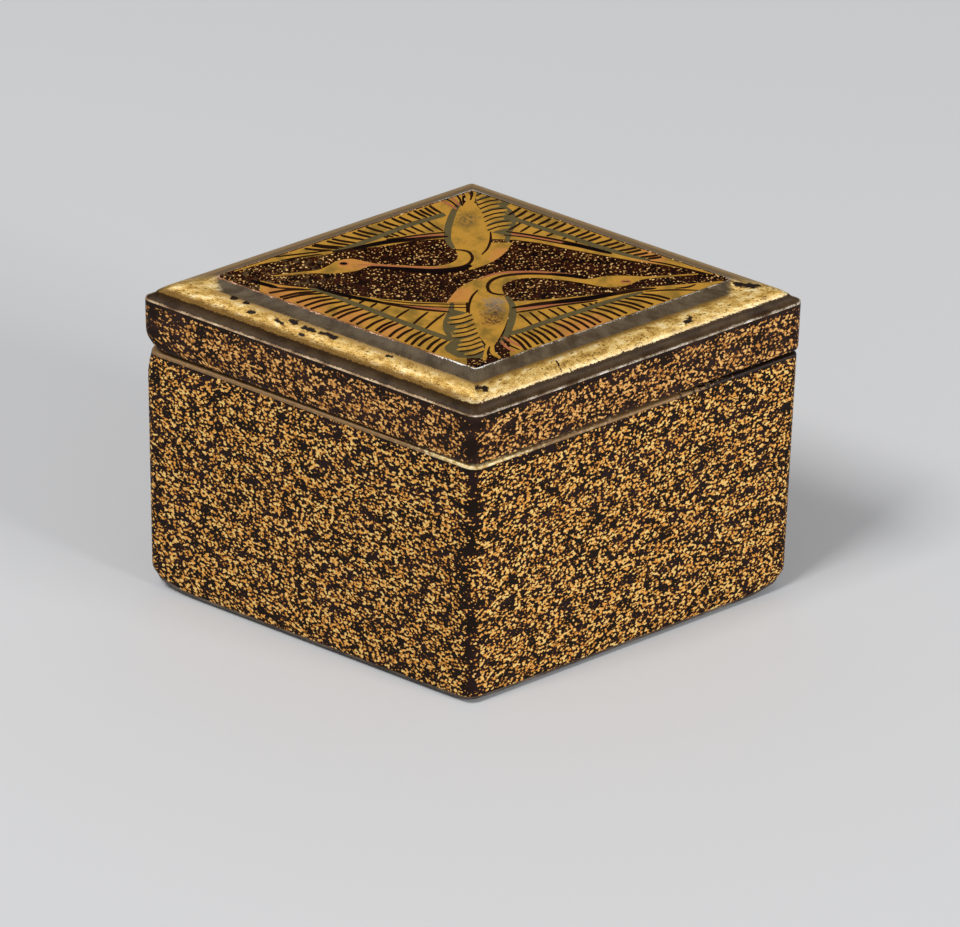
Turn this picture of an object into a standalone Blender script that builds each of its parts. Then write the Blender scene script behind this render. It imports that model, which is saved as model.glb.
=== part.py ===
"""A lozenge-shaped incense box of lacquered wood: a hollow body and a lid that lifts off.

Run with: blender --background --python part.py
The box stands on z = 0 with its centre on the z axis. Its long diagonal lies along x and its
short diagonal along y. Each piece is one profile carried round the lozenge: a profile point is
an inset from the outside face of the body, and a height above the piece's own underside.
"""
import math

import bmesh
import bpy

MM = 0.001

# Plan of the box, measured outside, with its corners taken as sharp
SIDE = 37.0 * MM
POINTED_ANGLE = math.radians(60.0)
POINTED_CORNER_RADIUS = 0.6 * MM
BLUNT_CORNER_RADIUS = 1.8 * MM
SMALLEST_CORNER_RADIUS = 0.2 * MM
INNER_CORNER_RADIUS = 1.0 * MM

# Body
BODY_HEIGHT = 29.6 * MM
WALL = 2.6 * MM
FLOOR_THICKNESS = 2.4 * MM
FOOT_ROUND = 0.7 * MM
MOUTH_ROUND = 0.3 * MM
HOLLOW_ROUND = 1.0 * MM

# Lip that stands up inside the mouth and keeps the lid in place
LIP_HEIGHT = 2.6 * MM
LIP_THICKNESS = 1.2 * MM
LIP_ROUND = 0.35 * MM
LIP_CLEARANCE = 0.3 * MM
SEAT_GAP = 0.3 * MM

# Lid
LID_OVERHANG = 0.12 * MM
LID_SIDE_HEIGHT = 5.9 * MM
LID_TOP_THICKNESS = 2.2 * MM
LID_EDGE_ROUND = 0.55 * MM
LID_ARRIS_ROUND = 0.12 * MM

# Moulding round the top of the lid: a cove, a roll and a second cove up to the flat panel
OUTER_COVE_WIDTH = 0.78 * MM
OUTER_COVE_RISE = 0.74 * MM
ROLL_WIDTH = 1.62 * MM
ROLL_RISE = 1.15 * MM
INNER_COVE_WIDTH = 1.30 * MM
INNER_COVE_RISE = 0.66 * MM
COVE_DEPTH = 0.10 * MM
ROLL_SWELL = 0.34 * MM

# Fineness of the curves
CORNER_STEPS = 6
ROUND_STEPS = 4
BAND_STEPS = 5

# Sizes that follow from the ones above
HALF_WIDTH = SIDE * math.sin(POINTED_ANGLE) / 2
LIP_INSET = WALL - LIP_THICKNESS
REBATE_INSET = LIP_INSET - LIP_CLEARANCE


def lozenge_ring(inset, height, inner):
    """The lozenge drawn in by inset on every side, as the points of its four corner arcs.

    Each arc has its centre on the corner's diagonal, one radius in from both sides.
    """
    corners = (
        (POINTED_ANGLE, POINTED_CORNER_RADIUS, 0.0),
        (math.pi - POINTED_ANGLE, BLUNT_CORNER_RADIUS, math.pi / 2),
        (POINTED_ANGLE, POINTED_CORNER_RADIUS, math.pi),
        (math.pi - POINTED_ANGLE, BLUNT_CORNER_RADIUS, 3 * math.pi / 2),
    )
    points = []
    for angle, outer_radius, facing in corners:
        radius = max(outer_radius - inset, SMALLEST_CORNER_RADIUS)
        if inner:
            radius = INNER_CORNER_RADIUS
        reach = (HALF_WIDTH - inset - radius) / math.sin(angle / 2)
        sweep = math.pi - angle
        for step in range(CORNER_STEPS + 1):
            turn = facing - sweep / 2 + sweep * step / CORNER_STEPS
            x = reach * math.cos(facing) + radius * math.cos(turn)
            y = reach * math.sin(facing) + radius * math.sin(turn)
            points.append((x, y, height))
    return points


def rings_round(profile, inner=False):
    """One ring of the lozenge for each profile point, with the outer or the inner corners."""
    return [lozenge_ring(inset, height, inner) for inset, height in profile]


def quarter_round(start, end, across_first):
    """A quarter ellipse between two profile points, leaving start across or up the profile."""
    points = []
    for step in range(ROUND_STEPS + 1):
        turn = math.pi / 2 * step / ROUND_STEPS
        early = math.sin(turn)
        late = 1 - math.cos(turn)
        across, up = (early, late) if across_first else (late, early)
        inset = start[0] + (end[0] - start[0]) * across
        height = start[1] + (end[1] - start[1]) * up
        points.append((inset, height))
    return points


def bowed_band(start, end, bow):
    """A moulding band between two profile points, bowed square to its chord by a half sine."""
    width = end[0] - start[0]
    rise = end[1] - start[1]
    chord = math.hypot(width, rise)
    points = []
    for step in range(1, BAND_STEPS + 1):
        share = step / BAND_STEPS
        out = bow * math.sin(math.pi * share)
        inset = start[0] + width * share - out * rise / chord
        height = start[1] + rise * share + out * width / chord
        points.append((inset, height))
    return points


def skin(name, rings, material):
    """Join the rings in order, close the first and the last, and return the new object."""
    shape = bmesh.new()
    loops = [[shape.verts.new(point) for point in ring] for ring in rings]
    count = len(loops[0])
    for ring, next_ring in zip(loops, loops[1:]):
        for index in range(count):
            after = (index + 1) % count
            shape.faces.new((ring[index], ring[after], next_ring[after], next_ring[index]))
    shape.faces.new(reversed(loops[0]))
    shape.faces.new(loops[-1])
    bmesh.ops.recalc_face_normals(shape, faces=shape.faces)
    mesh = bpy.data.meshes.new(name)
    shape.to_mesh(mesh)
    shape.free()
    mesh.shade_smooth()
    mesh.set_sharp_from_angle(angle=math.radians(30.0))
    mesh.materials.append(material)
    piece = bpy.data.objects.new(name, mesh)
    bpy.context.scene.collection.objects.link(piece)
    return piece


def lacquer(name, colour, roughness, metallic):
    """A plain lacquer finish for one piece."""
    material = bpy.data.materials.new(name)
    material.use_nodes = True
    shader = material.node_tree.nodes["Principled BSDF"]
    shader.inputs["Base Color"].default_value = (*colour, 1.0)
    shader.inputs["Roughness"].default_value = roughness
    shader.inputs["Metallic"].default_value = metallic
    return material


def make_body():
    """The hollow body: rounded foot, upright wall, ledge at the mouth, lip and flat floor."""
    lip_top = BODY_HEIGHT + LIP_HEIGHT
    outside = quarter_round((FOOT_ROUND, 0.0), (0.0, FOOT_ROUND), True)
    outside += quarter_round(
        (0.0, BODY_HEIGHT - MOUTH_ROUND), (MOUTH_ROUND, BODY_HEIGHT), False)
    outside.append((LIP_INSET, BODY_HEIGHT))
    outside += quarter_round(
        (LIP_INSET, lip_top - LIP_ROUND), (LIP_INSET + LIP_ROUND, lip_top), False)
    inside = quarter_round((WALL - LIP_ROUND, lip_top), (WALL, lip_top - LIP_ROUND), True)
    inside += quarter_round(
        (WALL, FLOOR_THICKNESS + HOLLOW_ROUND), (WALL + HOLLOW_ROUND, FLOOR_THICKNESS), False)
    rings = rings_round(outside) + rings_round(inside, inner=True)
    return skin("body", rings, lacquer("flaked_lacquer", (0.21, 0.12, 0.045), 0.35, 0.3))


def make_lid():
    """The hollow lid: a ceiling, a rebate that drops over the lip, a side and the moulding."""
    face = -LID_OVERHANG
    rebate_depth = LIP_HEIGHT
    panel_height = LID_SIDE_HEIGHT + OUTER_COVE_RISE + ROLL_RISE + INNER_COVE_RISE
    ceiling = panel_height - LID_TOP_THICKNESS
    inside = quarter_round(
        (WALL + HOLLOW_ROUND, ceiling), (WALL, ceiling - HOLLOW_ROUND), True)
    inside.append((WALL, rebate_depth))
    outside = [(REBATE_INSET, rebate_depth), (REBATE_INSET, 0.0)]
    edge_round = min(LID_EDGE_ROUND, 0.8 * (REBATE_INSET - face))
    outside += quarter_round((face + edge_round, 0.0), (face, edge_round), True)
    outside += quarter_round(
        (face, LID_SIDE_HEIGHT - LID_ARRIS_ROUND),
        (face + LID_ARRIS_ROUND, LID_SIDE_HEIGHT), False)
    cove_end = (face + OUTER_COVE_WIDTH, LID_SIDE_HEIGHT + OUTER_COVE_RISE)
    roll_end = (cove_end[0] + ROLL_WIDTH, cove_end[1] + ROLL_RISE)
    panel_edge = (roll_end[0] + INNER_COVE_WIDTH, panel_height)
    outside += bowed_band(outside[-1], cove_end, -COVE_DEPTH)
    outside += bowed_band(cove_end, roll_end, ROLL_SWELL)
    outside += bowed_band(roll_end, panel_edge, -COVE_DEPTH)
    rings = rings_round(inside, inner=True) + rings_round(outside)
    return skin("lid", rings, lacquer("gold_lacquer", (0.42, 0.27, 0.08), 0.32, 0.6))


for old in list(bpy.data.objects):
    bpy.data.objects.remove(old, do_unlink=True)

box = bpy.data.objects.new("incense_box", None)
bpy.context.scene.collection.objects.link(box)
make_body().parent = box
lid = make_lid()
lid.parent = box
lid.location.z = BODY_HEIGHT + SEAT_GAP
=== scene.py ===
"""The looks of a lozenge-shaped incense box of lacquered wood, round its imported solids."""
import math

import bpy
import numpy as np
from mathutils import Matrix, Vector


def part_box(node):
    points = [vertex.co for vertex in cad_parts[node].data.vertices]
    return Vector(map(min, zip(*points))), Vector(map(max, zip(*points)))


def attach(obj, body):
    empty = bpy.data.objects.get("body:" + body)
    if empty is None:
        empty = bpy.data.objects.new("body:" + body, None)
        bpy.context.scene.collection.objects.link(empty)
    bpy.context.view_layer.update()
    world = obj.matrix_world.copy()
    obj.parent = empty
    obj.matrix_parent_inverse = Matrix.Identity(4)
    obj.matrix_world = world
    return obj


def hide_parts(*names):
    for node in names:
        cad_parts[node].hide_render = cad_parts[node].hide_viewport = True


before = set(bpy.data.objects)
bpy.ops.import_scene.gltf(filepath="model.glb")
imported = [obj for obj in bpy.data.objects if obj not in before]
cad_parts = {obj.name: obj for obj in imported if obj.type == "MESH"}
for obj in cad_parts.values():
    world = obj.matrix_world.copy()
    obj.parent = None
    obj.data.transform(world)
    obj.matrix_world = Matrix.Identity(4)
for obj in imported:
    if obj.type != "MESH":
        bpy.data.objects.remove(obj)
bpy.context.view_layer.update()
MM = 0.001

# The studio: pale paper without a seam, and a long lens that looks down on the front corner.
# The camera stands where a perspective fitted to the box's edges puts it.
PIXEL = 0.0998 * MM
LENS_PIXELS = 6204.0
FRAME_PIXELS = 960.0
LOOK_DOWN = math.radians(38.57)
ROLL = math.radians(1.16)
TURN = math.radians(1.39)
ASIDE = -9.6 * PIXEL
ABOVE = -119.4 * PIXEL
UNDERSIDE_DROP = 0.3 * MM

distance = LENS_PIXELS * PIXEL
unturn = Matrix.Rotation(-TURN, 3, "Z")
shift_of_box = Vector(
    (ASIDE, ABOVE * math.sin(LOOK_DOWN), ABOVE * math.cos(LOOK_DOWN) - UNDERSIDE_DROP))
stand = Vector((0.0, -distance * math.cos(LOOK_DOWN), distance * math.sin(LOOK_DOWN)))
level_right = Vector((1.0, 0.0, 0.0))
level_up = Vector((0.0, math.sin(LOOK_DOWN), math.cos(LOOK_DOWN)))
backward = Vector((0.0, -math.cos(LOOK_DOWN), math.sin(LOOK_DOWN)))
camera_right = level_right * math.cos(ROLL) + level_up * math.sin(ROLL)
camera_up = level_up * math.cos(ROLL) - level_right * math.sin(ROLL)
axes = Matrix((unturn @ camera_right, unturn @ camera_up, unturn @ backward)).transposed()

lens = bpy.data.cameras.new("camera")
lens.sensor_width = 36.0
lens.lens = lens.sensor_width * LENS_PIXELS / FRAME_PIXELS
lens.clip_start = 0.01
camera = bpy.data.objects.new("camera", lens)
bpy.context.scene.collection.objects.link(camera)
camera.matrix_world = Matrix.Translation(unturn @ (stand - shift_of_box)) @ axes.to_4x4()
bpy.context.scene.camera = camera
bpy.context.scene.view_settings.view_transform = "Standard"

FLOOR_SIZE = 4.0
FLOOR_COLOUR = (0.66, 0.67, 0.69)
FILL_LIGHT = 0.33

bpy.ops.mesh.primitive_plane_add(size=FLOOR_SIZE)
floor = bpy.context.object
floor.name = "floor"
paper = bpy.data.materials.new("paper")
paper.use_nodes = True
sheen = paper.node_tree.nodes["Principled BSDF"].inputs
sheen["Base Color"].default_value = (*FLOOR_COLOUR, 1.0)
sheen["Roughness"].default_value = 1.0
sheen["Specular IOR Level"].default_value = 0.0
floor.data.materials.append(paper)

world = bpy.data.worlds.new("studio")
bpy.context.scene.world = world
world.use_nodes = True
world.node_tree.nodes["Background"].inputs["Color"].default_value = (0.98, 0.99, 1.0, 1.0)
world.node_tree.nodes["Background"].inputs["Strength"].default_value = FILL_LIGHT


def softbox(name, towards, away, size, watts, colour):
    """A square area light that stands away along a direction and faces the middle of the lid."""
    light = bpy.data.lights.new(name, "AREA")
    light.shape = "SQUARE"
    light.size = size
    light.energy = watts
    light.color = colour
    lamp = bpy.data.objects.new(name, light)
    bpy.context.scene.collection.objects.link(lamp)
    middle = Vector((0.0, 0.0, 0.03))
    lamp.location = middle + Vector(towards).normalized() * away
    lamp.rotation_euler = Vector(towards).to_track_quat("Z", "Y").to_euler()


softbox("key", (-0.79, -0.62, 1.81), 0.75, 0.20, 3.3, (1.0, 0.985, 0.965))
softbox("side", (0.72, -0.42, 0.32), 0.80, 0.24, 3.0, (1.0, 0.99, 0.975))


# The body: a hollow lozenge of wood under dark lacquer, thickly sprinkled outside with gold
# flakes. A gilt chamfer runs round its mouth, and a plain lip stands up inside the chamfer.
POINTED_ANGLE = 60.0
CORNERS_FACE = (0.0, 90.0, 180.0, 270.0)
POINTED_RADIUS = 0.6 * MM
BLUNT_RADIUS = 1.8 * MM
SMALLEST_RADIUS = 0.2 * MM
INNER_RADIUS = 1.0 * MM
WALL = 2.6 * MM
FLOOR_THICKNESS = 2.4 * MM
HOLLOW_ROUND = 1.0 * MM
FOOT_RECESS = 1.7 * MM
FOOT_GAP = 0.42 * MM
FOOT_EDGE = 0.16 * MM
CHAMFER = 0.32 * MM
SEAT_GAP = 0.3 * MM
LIP_THICKNESS = 1.2 * MM
LIP_ROUND = 0.35 * MM
WORN_FOOT_RADIUS = 1.25 * MM
WORN_MOUTH_RADIUS = 1.0 * MM
WORN_UP_TO = 3 * MM
FLAKE = 0.37
SATIN = 0.42
FLAKE_METAL = 0.15
CREASE = math.radians(38.0)
ARC_STEPS = 12
RUN_STEPS = 220

body_low, body_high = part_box("body")
lid_low, lid_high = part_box("lid")
mouth = lid_low.z - SEAT_GAP
body_half_width = (body_high.x + POINTED_RADIUS) / 2


def lozenge_rows(half_width, profile, radii):
    """Carry a profile round a lozenge: an array of rows by columns by x, y and z.

    The profile's rows hold an inset and a height. Each corner is an arc whose centre lies on
    the corner's diagonal, one radius in from both sides, and each side is a straight run.
    """
    insets = profile[:, 0][:, None, None]
    facing = np.radians(CORNERS_FACE)[None, :, None]
    angle = np.radians([POINTED_ANGLE, 180 - POINTED_ANGLE] * 2)[None, :, None]
    radius = radii[:, :, None]
    turn = facing + (math.pi - angle) * (np.linspace(0, 1, ARC_STEPS + 1) - 0.5)
    reach = (half_width - insets - radius) / np.sin(angle / 2)
    arcs = np.stack((reach * np.cos(facing) + radius * np.cos(turn),
                     reach * np.sin(facing) + radius * np.sin(turn)), axis=-1)
    ends = np.roll(arcs, -1, axis=1)[:, :, :1]
    share = np.linspace(0, 1, RUN_STEPS + 2)[1:-1][:, None]
    runs = arcs[:, :, -1:] * (1 - share) + ends * share
    plan = np.concatenate((arcs, runs), axis=2).reshape(len(profile), -1, 2)
    heights = np.broadcast_to(profile[:, 1][:, None, None], (*plan.shape[:2], 1))
    return np.concatenate((plan, heights), axis=2)


def corner_radii(profile, inner=False):
    """The radius of each of the four corners on each profile row, drawn in by the inset."""
    outer = np.array([POINTED_RADIUS, BLUNT_RADIUS] * 2) - profile[:, :1]
    return np.full_like(outer, INNER_RADIUS) if inner else np.maximum(outer, SMALLEST_RADIUS)


def quarter(start, end, across_first, steps=8):
    """A quarter ellipse between two profile points, leaving start across or up the profile."""
    turn = np.linspace(0, math.pi / 2, steps + 1)
    early, late = np.sin(turn), 1 - np.cos(turn)
    across, up = (early, late) if across_first else (late, early)
    return np.stack((start[0] + (end[0] - start[0]) * across,
                     start[1] + (end[1] - start[1]) * up), axis=1)


def straight(start, end, steps):
    """Evenly spaced profile points strictly between two profile points."""
    share = np.linspace(0, 1, steps + 2)[1:-1, None]
    return np.array(start) * (1 - share) + np.array(end) * share


def skin(name, points, around, across, row_material, materials, traits=()):
    """Make the closed mesh of a grid that runs round a piece, with its first and last row capped.

    The UV map holds the distance round the piece and along its profile, in millimetres.
    """
    rows, columns = points.shape[:2]
    index = np.arange(rows * columns).reshape(rows, columns)
    after = np.roll(index, -1, axis=1)
    quads = np.stack((index[:-1], after[:-1], after[1:], index[1:]), axis=-1).reshape(-1, 4)
    mesh = bpy.data.meshes.new(name)
    mesh.from_pydata(points.reshape(-1, 3), [], quads.tolist() + [
        index[0, ::-1].tolist(), index[-1].tolist()])
    run = np.append(around, around[-1] + np.linalg.norm(points[1, 0] - points[1, -1]))
    u = np.stack((run[:-1], run[1:], run[1:], run[:-1]), axis=-1)
    v = np.stack((across[:-1], across[:-1], across[1:], across[1:]), axis=-1)
    quad_uv = np.stack((np.broadcast_to(u[None], (rows - 1, columns, 4)),
                        np.broadcast_to(v[:, None], (rows - 1, columns, 4))), axis=-1)
    uv = np.concatenate((quad_uv.reshape(-1, 2), points[0, ::-1, :2], points[-1, :, :2]))
    mesh.uv_layers.new(name="run").uv.foreach_set("vector", (uv / MM).ravel())
    faces_material = np.append(np.repeat(row_material, columns),
                               (row_material[0], row_material[-1]))
    for material in materials:
        mesh.materials.append(material)
    mesh.polygons.foreach_set("material_index", faces_material.astype(np.int32))
    for trait, values in traits:
        mesh.attributes.new(trait, "FLOAT", "POINT").data.foreach_set("value", values.ravel())
    mesh.shade_smooth()
    mesh.set_sharp_from_angle(angle=CREASE)
    piece = bpy.data.objects.new(name, mesh)
    bpy.context.scene.collection.objects.link(piece)
    return piece


def feed(tree, made, inputs):
    """Give a node's inputs their values, each a plain value or the socket that feeds it."""
    for key, value in dict(inputs).items():
        if isinstance(value, bpy.types.NodeSocket):
            tree.links.new(value, made.inputs[key])
        else:
            made.inputs[key].default_value = value


def node(tree, kind, inputs=(), **settings):
    """Add a shader node with its settings and inputs."""
    made = tree.nodes.new(kind)
    for name, value in settings.items():
        setattr(made, name, value)
    feed(tree, made, inputs)
    return made


def maths(tree, operation, first, second=0.0, third=0.0):
    """The result of one sum on two or three numbers or sockets."""
    made = node(tree, "ShaderNodeMath", {0: first, 1: second, 2: third}, operation=operation)
    return made.outputs[0]


def times(tree, first, second):
    """Two numbers or sockets multiplied."""
    return maths(tree, "MULTIPLY", first, second)


def rest(tree, share):
    """What a share leaves of 1."""
    return maths(tree, "SUBTRACT", 1.0, share)


def swayed(tree, value, pattern, amount):
    """A value plus an amount times what a pattern from 0 to 1 lies above 0.5."""
    return maths(tree, "MULTIPLY_ADD", maths(tree, "SUBTRACT", pattern, 0.5), amount, value)


def between(tree, value, low, high, start=0.0, end=1.0):
    """A smooth step from start to end as the value goes from low to high."""
    made = node(tree, "ShaderNodeMapRange",
                {"Value": value, "From Min": low, "From Max": high, "To Min": start,
                 "To Max": end}, interpolation_type="SMOOTHSTEP")
    return made.outputs["Result"]


def mixed(tree, share, first, second):
    """Two colours mixed by a share, each a plain colour or a socket."""
    first = first if isinstance(first, bpy.types.NodeSocket) else (*first, 1.0)
    second = second if isinstance(second, bpy.types.NodeSocket) else (*second, 1.0)
    made = node(tree, "ShaderNodeMix", {0: share, 6: first, 7: second}, data_type="RGBA")
    return made.outputs[2]


def noise(tree, place, scale, detail=2.0):
    """Noise from 0 to 1, with about so many clouds for each unit of the place as its scale."""
    made = node(tree, "ShaderNodeTexNoise",
                {"Vector": place, "Scale": scale, "Detail": detail, "Roughness": 0.6})
    return made.outputs["Fac"]


def run_place(tree):
    """The distance round a piece and along its profile, in millimetres."""
    return node(tree, "ShaderNodeUVMap", uv_map="run").outputs["UV"]


def trait_of(tree, name):
    """A trait that the piece's mesh holds at its points."""
    return node(tree, "ShaderNodeAttribute", attribute_name=name).outputs["Fac"]


def shifted(tree, place, offset):
    """A place moved by a fixed offset, so that two patterns differ."""
    made = node(tree, "ShaderNodeVectorMath", {0: place, 1: offset}, operation="ADD")
    return made.outputs[0]


def flake_layer(tree, place, cell, cover, offset):
    """Sprinkled flakes about as wide as a cell, as the share of flake and its brightness.

    Flakes lie where a fine noise stands above a level that sinks as the cover grows, so that
    they gather in short strings. A scattered pattern of cells parts the strings into single
    flakes, each with a random brightness of its own that falls off towards its border.
    """
    moved = shifted(tree, place, offset)
    strings = noise(tree, moved, 0.95 / cell, 1.0)
    ragged = node(tree, "ShaderNodeTexNoise", {"Vector": moved, "Scale": 1.6 / cell})
    pushed = node(tree, "ShaderNodeVectorMath",
                  {0: ragged.outputs["Color"], 1: (cell * 1.1, cell * 1.1, 0.0), 2: moved},
                  operation="MULTIPLY_ADD")
    cells = node(tree, "ShaderNodeTexVoronoi", {"Vector": pushed.outputs[0], "Scale": 1.0 / cell},
                 voronoi_dimensions="2D")
    middle = between(tree, cells.outputs["Distance"], 0.58, 0.12)
    own = node(tree, "ShaderNodeSeparateColor", {"Color": cells.outputs["Color"]}).outputs["Blue"]
    level = maths(tree, "MULTIPLY_ADD", cover, -0.30, 0.83)
    above = maths(tree, "MULTIPLY_ADD", middle, 0.24, maths(tree, "SUBTRACT", strings, level))
    flake = between(tree, above, -0.01, 0.03)
    high = between(tree, above, 0.0, 0.15)
    bright = times(tree, high, maths(tree, "MULTIPLY_ADD", own, 0.65, 0.40))
    return flake, bright


def ramp(tree, value, *stops):
    """A colour ramp through pairs of a position and a colour."""
    made = node(tree, "ShaderNodeValToRGB", {"Fac": value})
    bar = made.color_ramp.elements
    while len(bar) < len(stops):
        bar.new(1.0)
    for stop, (position, colour) in zip(bar, stops):
        stop.position = position
        stop.color = (*colour, 1.0)
    return made.outputs["Color"]


def finish(name):
    """A new node material, as the material, its tree and its shader."""
    material = bpy.data.materials.new(name)
    material.use_nodes = True
    tree = material.node_tree
    return material, tree, tree.nodes["Principled BSDF"]


def settle(tree, shader, colour, roughness, specular, metallic=0.0):
    """Give the shader its colour and its other values, on its own sockets."""
    feed(tree, shader, {"Base Color": colour, "Roughness": roughness,
                        "Specular IOR Level": specular, "Metallic": metallic})


def bumped(tree, shader, height, rise):
    """Feed the shader's normal from a height that stands up to rise."""
    made = node(tree, "ShaderNodeBump", {"Height": height, "Distance": rise})
    tree.links.new(made.outputs["Normal"], shader.inputs["Normal"])


def flaked_lacquer(name, dark, stained, golds):
    """Dark lacquer thickly sprinkled with gold, thin where the trait worn is high.

    The ground goes from dark to stained in clouds, and golds are a flake's colours from its
    border to its middle.
    """
    material, tree, shader = finish(name)
    place = run_place(tree)
    patches = noise(tree, place, 0.75, 4.0)
    cover = between(tree, patches, 0.37, 0.55, 0.22, 1.0)
    cover = maths(tree, "SUBTRACT", cover, trait_of(tree, "worn"))
    flake, bright = flake_layer(tree, place, FLAKE, cover, (0.0, 0.0, 0.0))
    stain = between(tree, noise(tree, shifted(tree, place, (7.0, 3.0, 0.0)), 0.30), 0.42, 0.62)
    gold = ramp(tree, bright, *zip((0.02, 0.28, 0.55, 0.90), golds))
    ground = mixed(tree, stain, dark, stained)
    metal = times(tree, flake, FLAKE_METAL)
    settle(tree, shader, mixed(tree, flake, ground, gold), SATIN, 0.08, metal)
    bumped(tree, shader, flake, 0.02 * MM)
    return material


def plain_lacquer(name, dark, pale, roughness):
    """Plain brushed lacquer, slightly cloudy, for faces that bear no decoration."""
    material, tree, shader = finish(name)
    place = node(tree, "ShaderNodeTexCoord").outputs["Object"]
    cloud = noise(tree, place, 350.0, 4.0)
    colour = mixed(tree, between(tree, cloud, 0.35, 0.7), dark, pale)
    settle(tree, shader, colour, roughness, 0.25)
    bumped(tree, shader, noise(tree, place, 2500.0), 0.01 * MM)
    return material


def gilt_edge():
    """Gold lacquer on the mouth's chamfer, from pale gold where the trait gilt is 1 to brown.

    Under 0 the gold is rubbed off and the dark lacquer shows.
    """
    material, tree, shader = finish("gilt_edge")
    grain = noise(tree, run_place(tree), 2.2, 4.0)
    ragged = swayed(tree, trait_of(tree, "gilt"), grain, 1.4)
    brown = mixed(tree, grain, (0.13, 0.070, 0.028), (0.42, 0.25, 0.11))
    gold = mixed(tree, between(tree, grain, 0.35, 0.65), (0.55, 0.33, 0.08), (1.0, 0.84, 0.48))
    colour = mixed(tree, between(tree, ragged, 0.45, 0.95), brown, gold)
    colour = mixed(tree, between(tree, ragged, 0.02, -0.06), colour, (0.020, 0.010, 0.007))
    settle(tree, shader, colour, 0.45, 0.2, 0.2)
    bumped(tree, shader, grain, 0.02 * MM)
    return material


def bell(gap, spread):
    """A bell curve: 1 where the gap is 0, falling off over the spread."""
    return np.exp(-(gap / spread) ** 2)


def near(points, place, spread):
    """How near each point lies to a place in plan, as a bell curve."""
    return bell(np.linalg.norm(points[..., :2] - np.array(place), axis=-1), spread)


dark_lacquer = plain_lacquer("dark_lacquer", (0.016, 0.009, 0.006), (0.030, 0.017, 0.010), 0.38)
inner_lacquer = plain_lacquer("inner_lacquer", (0.030, 0.014, 0.008), (0.055, 0.026, 0.012), 0.30)
worn_wood = plain_lacquer("worn_foot_edge", (0.055, 0.036, 0.024), (0.17, 0.13, 0.10), 0.55)
body_flaked = flaked_lacquer(
    "flaked_lacquer", (0.010, 0.005, 0.0025), (0.019, 0.008, 0.007),
    ((0.14, 0.046, 0.006), (0.46, 0.182, 0.030), (0.96, 0.43, 0.080), (1.0, 0.71, 0.24)))

recess = quarter((FOOT_RECESS, 0.0), (FOOT_EDGE, FOOT_GAP), False, 8)
foot_edge = quarter(recess[-1], (0.0, FOOT_GAP + FOOT_EDGE), True, 4)[1:]
foot = np.concatenate((recess, foot_edge))
foot_top = FOOT_GAP + FOOT_EDGE
wall_rows = np.concatenate((
    straight((0.0, foot_top), (0.0, 3 * MM), 9),
    straight((0.0, 2.7 * MM), (0.0, mouth - CHAMFER - MM), 20),
    straight((0.0, mouth - CHAMFER - 1.15 * MM), (0.0, mouth - CHAMFER), 7)))
chamfer = quarter((0.0, mouth - CHAMFER), (CHAMFER, mouth), False, 6)
lip_inset = WALL - LIP_THICKNESS
lip = quarter((lip_inset, body_high.z - LIP_ROUND), (lip_inset + LIP_ROUND, body_high.z), False, 5)
outside = np.concatenate((foot, wall_rows, chamfer, [(lip_inset, mouth)], lip))
inside = np.concatenate((
    quarter((WALL - LIP_ROUND, body_high.z), (WALL, body_high.z - LIP_ROUND), True, 5),
    quarter((WALL, FLOOR_THICKNESS + HOLLOW_ROUND), (WALL + HOLLOW_ROUND, FLOOR_THICKNESS), False)))
outer_radii = corner_radii(outside)
height_of = outside[:, 1]
worn_foot = (WORN_FOOT_RADIUS - POINTED_RADIUS) * bell(height_of, 1.3 * MM)
worn_mouth = (WORN_MOUTH_RADIUS - POINTED_RADIUS) * bell(mouth - height_of, 1.5 * MM)
outer_radii[:, 0] += worn_foot
outer_radii[:, 2] += worn_foot + worn_mouth
body_points = np.concatenate((
    lozenge_rows(body_half_width, outside, outer_radii),
    lozenge_rows(body_half_width, inside, corner_radii(inside, inner=True))))

# The foot is worn rounder at the corners: its points rise there, and the wall's lowest points
# are pressed together above them.
corners = ((body_high.x, 0.0), (body_low.x, 0.0), (0.0, body_low.y), (0.0, body_high.y))
worn_corner = sum(lift * near(body_points, corner, 2.6 * MM)
                  for corner, lift in zip(corners, (2.3, 2.3, 0.3, 0.3)))
heights = body_points[:len(outside), :, 2]
lifted = worn_corner[:len(outside)] * np.minimum(heights, foot_top) * (1 - heights / WORN_UP_TO)
body_points[:len(outside), :, 2] = np.where(heights < WORN_UP_TO, heights + lifted, heights)
profile = np.concatenate((outside, inside))
steps_round = np.linalg.norm(np.diff(body_points[len(foot)], axis=0), axis=1)
body_around = np.append(0.0, np.cumsum(steps_round))
body_across = np.append(0.0, np.cumsum(np.linalg.norm(np.diff(profile, axis=0), axis=1)))
FLAKED, GILT, DARK, INNER, WORN_WOOD = range(5)
row_material = np.full(len(profile) - 1, FLAKED)
side_ends = len(foot) + len(wall_rows)
row_material[:len(recess) - 1] = DARK
row_material[len(recess) - 1:len(foot)] = WORN_WOOD
row_material[side_ends:side_ends + len(chamfer)] = GILT
row_material[side_ends + len(chamfer):] = DARK
row_material[len(outside):] = INNER

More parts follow.
